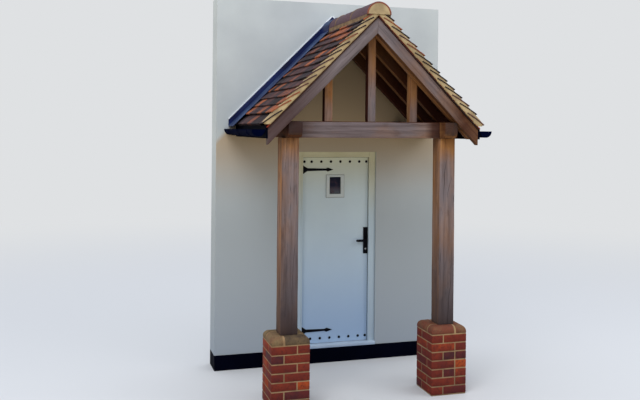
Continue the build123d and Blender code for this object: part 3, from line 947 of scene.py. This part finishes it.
def build_ridge():
    """Half-round ridge tiles, their bedding, and the pointing between them."""
    tiles = copy_of("ridge_tiles", "half_round_ridge_tiles")
    soften(tiles, 0.0025)
    set_tone(tiles, 0.45)
    colour_end(tiles, 0.95)
    fit(tiles, ridge_clay, "porch", "tiles", "ridge_tiles")
    bed = copy_of("ridge_mortar", "ridge_bedding")
    cut_off(bed, (0, verge + 0.012, 0), (0, -1, 0))
    slice_along(bed, (0, 1, 0), 0.03)
    slice_along(bed, (1, 0, 0), 0.018)
    slice_along(bed, (0, 0, 1), 0.018)
    roughen(bed, 0.035, 0.004)
    bpy.ops.object.shade_smooth_by_angle(angle=math.radians(50))
    fit(bed, ridge_mortar, "porch", "mortar", "ridge_mortar")
    deselect()
    bpy.ops.mesh.primitive_cylinder_add(
        vertices=48, radius=ridge_radius - 0.0125, depth=0.006,
        location=(0, ridge_front + 0.0040, ridge_centre), rotation=(math.radians(90), 0, 0))
    filling = bpy.context.active_object
    bpy.ops.object.transform_apply()
    cut_off(filling, (0, 0, ridge_centre + 0.004), (0, 0, -1))
    for direction in ((1, 0, 0), (0, 0, 1)):
        slice_along(filling, direction, 0.015)
    roughen(filling, 0.035, 0.0022)
    bpy.ops.object.shade_smooth_by_angle(angle=math.radians(50))
    fit(filling, bed_mortar, "porch", "mortar")
    filling.name = "ridge_end_filling"
    rings = []
    joint = 0.008
    length = (-ridge_front - 2 * joint) / 3
    for number in (1, 2):
        middle = ridge_front + (length + joint) * number - joint / 2
        deselect()
        bpy.ops.mesh.primitive_torus_add(
            major_segments=40, minor_segments=8, major_radius=ridge_radius - 0.002,
            minor_radius=0.007, location=(0, middle, ridge_centre),
            rotation=(math.radians(90), 0, 0))
        ring = bpy.context.active_object
        bpy.ops.object.transform_apply()
        keep_between(ring, (-1, -2, ridge_centre), (1, 1, 4))
        roughen(ring, 0.03, 0.005)
        bpy.ops.object.shade_smooth()
        rings.append(ring)
    fit(joined("ridge_pointing", rings), ridge_mortar, "porch", "mortar")


def build_lead():
    """The dressed flashing, and the pale line where its edge is let into the wall."""
    sheet = copy_of("lead_flashing", "dressed_lead")
    soften(sheet, 0.0015, 1)
    for direction in ((1, 0, 0), (0, 1, 0)):
        slice_along(sheet, direction, 0.06)
    roughen(sheet, 0.12, 0.003)
    bpy.ops.object.shade_smooth_by_angle(angle=math.radians(40))
    # Faces that look up take the paler colour: painted sky light
    sky_lit = sheet.data.attributes.new("sky_lit", "FLOAT", "FACE")
    sky_lit.data.foreach_set(
        "value", [float(face.normal.z > 0.4) for face in sheet.data.polygons])
    fit(sheet, lead, "porch", "lead", "lead_flashing")
    lines = []
    for side in (-1, 1):
        line = strip(
            "line", side, lead_peak, start=0.0, end=1.455, low=-0.001, high=0.011,
            front=-0.008, back=-0.0002)
        soften(line, 0.003)
        lines.append(line)
    fit(joined("flashing_pointing", lines), pointing_paint, "porch", "render")


def build_roof():
    for side, hand in ((-1, "left"), (1, "right")):
        roof_board_run(side, hand)
        lay_tiles(side, hand)
        bed_verge(side, hand)
    build_ridge()
    build_lead()
    cover(fascia_paint, "left_fascia", "right_fascia")
    cover(gutter_plastic, "left_gutter", "right_gutter", "gutter_brackets")


# Door

def bars(name, front, back, *outlines):
    """Straight bars between two depths, each by its left, bottom, right and top."""
    return [block(name, (left, front, bottom), (right, back, top))
            for left, bottom, right, top in outlines]


def build_frame():
    """The door frame, with its inner beads, seal and sill."""
    for node in ("frame_left_jamb", "frame_right_jamb", "frame_head"):
        refine(node, node + "_profile", 0.0025, frame_plastic, "porch", "white")
    bottom = plinth_top + 0.0352
    edge = 0.013
    beads = bars(
        "bead", 0.0105, 0.0152,
        (sight_left - edge, bottom, sight_left, sight_top),
        (sight_right, bottom, sight_right + edge, sight_top),
        (sight_left - edge, sight_top, sight_right + edge, sight_top + edge))
    for bead in beads:
        soften(bead, 0.0018)
    fit(joined("frame_beads", beads), frame_plastic, "porch", "white")
    seals = bars(
        "seal", 0.0352, leaf_front - 0.0004,
        (sight_left - 0.006, bottom, sight_left + 0.006, sight_top),
        (sight_right - 0.002, bottom, sight_right + 0.006, sight_top),
        (sight_left + 0.006, sight_top - 0.003, sight_right - 0.002, sight_top + 0.006))
    for seal in seals:
        soften(seal, 0.0015)
    fit(joined("frame_seals", seals), rubber, "porch", "gutter")
    refine("door_threshold", "door_sill", 0.005, sill_metal, "porch", "white")
    cover(bright_steel, "hinge_frame_halves", "hinge_leaf_halves")


def stud(radius, height):
    """A domed nail head."""
    deselect()
    bpy.ops.mesh.primitive_uv_sphere_add(segments=14, ring_count=8, radius=radius)
    head = bpy.context.active_object
    head.name = "stud"
    head.scale = (1, height / radius, 1)
    bpy.ops.object.transform_apply()
    keep_between(head, (-1, -1, -1), (1, 0.0, 1))
    bpy.ops.object.shade_smooth_by_angle(angle=math.radians(40))
    return head


def build_door():
    """The leaf's own pieces: window, straps, studs, plates, lock and levers."""
    cover(door_paint, "door_leaf")
    cover(glass, "vision_glass")
    refine("vision_trims", "window_rims", 0.003, trim_paint, "door", "white")
    left, bottom, right, top = -0.0385, 1.629, 0.1525, 1.857
    edge = 0.003
    # A rubber seal round the window rim, dark enough to draw the rim's shadow line too: partly
    # painted shadow
    gaskets = bars(
        "gasket", 0.0365, leaf_front + 0.0002,
        (left, bottom, left + edge, top), (right - edge, bottom, right, top),
        (left + edge, bottom, right - edge, bottom + edge),
        (left + edge, top - edge, right - edge, top))
    fit(joined("window_gaskets_and_shadow_line", gaskets), rubber, "door", "gutter")
    left, bottom, right, top = -0.002, 1.6655, 0.116, 1.8345
    edge = 0.004
    seals = []
    for front in (0.0475, 0.0725):
        outer = block("seal", (left, front, bottom), (right, front + edge, top))
        pick(outer)
        bpy.ops.object.mode_set(mode="EDIT")
        bpy.ops.mesh.select_all(action="DESELECT")
        bpy.ops.object.mode_set(mode="OBJECT")
        for face in outer.data.polygons:
            face.select = abs(face.normal.y) > 0.5
        bpy.ops.object.mode_set(mode="EDIT")
        bpy.ops.mesh.inset(thickness=edge)
        bpy.ops.mesh.bridge_edge_loops()
        bpy.ops.object.mode_set(mode="OBJECT")
        seals.append(outer)
    fit(joined("window_seals", seals), rubber, "door", "gutter")
    refine("strap_hinges", "iron_straps", 0.0018, black_iron, "door", "iron")
    leaf_middle = 0.061
    strap_left = -0.279
    strap_thickness = 0.005
    nail = stud(0.0135, 0.006)
    bolt = stud(0.0065, 0.004)
    studs = []
    for across in (-0.325, -0.25, -0.15, -0.05, 0.05, 0.15, 0.25, 0.325):
        for height in (1.988, 0.231):
            place = Matrix.Translation((leaf_middle + across, leaf_front, height))
            studs.append(copied(nail, place, 0.5))
    for height in (1.909, 0.312):
        for along, rise in ((0.016, 0.019), (0.016, -0.019), (0.09, 0), (0.20, 0)):
            place = Matrix.Translation((
                strap_left + along, leaf_front - strap_thickness, height + rise))
            studs.append(copied(bolt, place, 0.5))
    bpy.data.objects.remove(nail)
    bpy.data.objects.remove(bolt)
    fit(joined("iron_studs", studs), black_iron, "door", "iron")
    refine("handle_plates", "iron_handle_plates", 0.0025, black_iron, "door", "iron")
    cover(bright_steel, "lock_cylinder")
    refine("lever_handle", "iron_levers", 0.003, black_iron, "lever", "iron")


# Studio

def background_rays(holder):
    """1 for the rays that meet the background: from the camera, off gloss or through glass."""
    seen, gloss, through = [add(holder, "LightPath", ray) for ray in (
        "Is Camera Ray", "Is Glossy Ray", "Is Transmission Ray")]
    seen = add(holder, "Math", "Value", [seen, gloss], operation="MAXIMUM")
    return add(holder, "Math", "Value", [seen, through], operation="MAXIMUM")


def build_studio():
    """A pale floor, soft light and a camera where the porch is seen from."""
    deselect()
    bpy.ops.mesh.primitive_plane_add(size=60, location=(0, 0, 0))
    floor = bpy.context.active_object
    floor.name = "studio_floor"
    finish, shader = start("studio_floor_paint", 0.9, shine=0.1)
    seen = background_rays(finish)
    place = add(finish, "TexCoord", "Object")
    away = add(finish, "VectorMath", "Value", [place], operation="LENGTH")
    # What the floor throws back up: cool and dim by the porch, warm and bright beyond it
    beyond = add(finish, "MapRange", "Result", [away, 1.2, 3.6],
                 interpolation_type="SMOOTHSTEP")
    thrown = add(finish, "Mix", 2, {
        0: beyond, 6: linear("#4d6488"), 7: linear("#d8c9a4")}, data_type="RGBA")
    colour = add(finish, "Mix", 2, {0: seen, 6: thrown, 7: linear("#d2d3d4")}, data_type="RGBA")
    surface(finish, shader, Base_Color=colour)
    away = add(finish, "MapRange", "Result", [away, 3.0, 13.0],
               interpolation_type="SMOOTHSTEP")
    away = add(finish, "Math", "Value", [away, seen], operation="MULTIPLY")
    backdrop = add(finish, "Emission", 0, [linear("#dfe1e3")])
    blend = add(finish, "MixShader", 0, [away, shader.outputs[0], backdrop])
    finish.node_tree.links.new(
        blend, finish.node_tree.nodes["Material Output"].inputs["Surface"])
    floor.data.materials.append(finish)

    world = bpy.data.worlds.new("studio_sky")
    bpy.context.scene.world = world
    world.use_nodes = True
    light = world.node_tree.nodes["Background"]
    light.inputs["Color"].default_value = linear("#ecf1fa")
    above = add(world, "TexCoord", "Generated")
    above = add(world, "SeparateXYZ", "Z", [above])
    strength = add(world, "MapRange", "Result", [above, 0.0, 1.0, 0.66, 1.36])
    world.node_tree.links.new(strength, light.inputs["Strength"])
    pale = add(world, "Background", 0, [linear("#dfe1e3")])
    sky = add(world, "MixShader", 0, [background_rays(world), light.outputs[0], pale])
    world.node_tree.links.new(sky, world.node_tree.nodes["World Output"].inputs["Surface"])

    for name, place, size, power in (
        ("key_light", (-3.8, -5.2, 7.3), 4.0, 200.0),
        ("fill_light", (5.0, -4.0, 6.0), 4.0, 80.0),
    ):
        data = bpy.data.lights.new(name, "AREA")
        data.shape = "DISK"
        data.size = size
        data.energy = power
        lamp = bpy.data.objects.new(name, data)
        bpy.context.scene.collection.objects.link(lamp)
        lamp.location = place
        aim = Vector((0, -0.6, 1.6)) - lamp.location
        lamp.rotation_euler = aim.to_track_quat("-Z", "Y").to_euler()

    yaw = math.radians(16.757)
    roll = math.radians(0.52)
    ahead = Vector((math.sin(yaw), math.cos(yaw), 0))
    level = Vector((math.cos(yaw), -math.sin(yaw), 0))
    above = Vector((0, 0, 1))
    right = level * math.cos(roll) + above * math.sin(roll)
    up = above * math.cos(roll) - level * math.sin(roll)
    turn = Matrix((right, up, -ahead)).transposed().to_4x4()
    data = bpy.data.cameras.new("camera")
    data.sensor_width = 36.0
    data.lens = 44.78
    data.shift_y = -0.1127
    data.clip_end = 200.0
    camera = bpy.data.objects.new("camera", data)
    bpy.context.scene.collection.objects.link(camera)
    camera.matrix_world = Matrix.Translation((-2.389, -7.542, 2.324)) @ turn
    bpy.context.scene.camera = camera
    bpy.context.scene.view_settings.view_transform = "Standard"


build_masonry()
build_oak()
build_roof()
build_frame()
build_door()
build_studio()
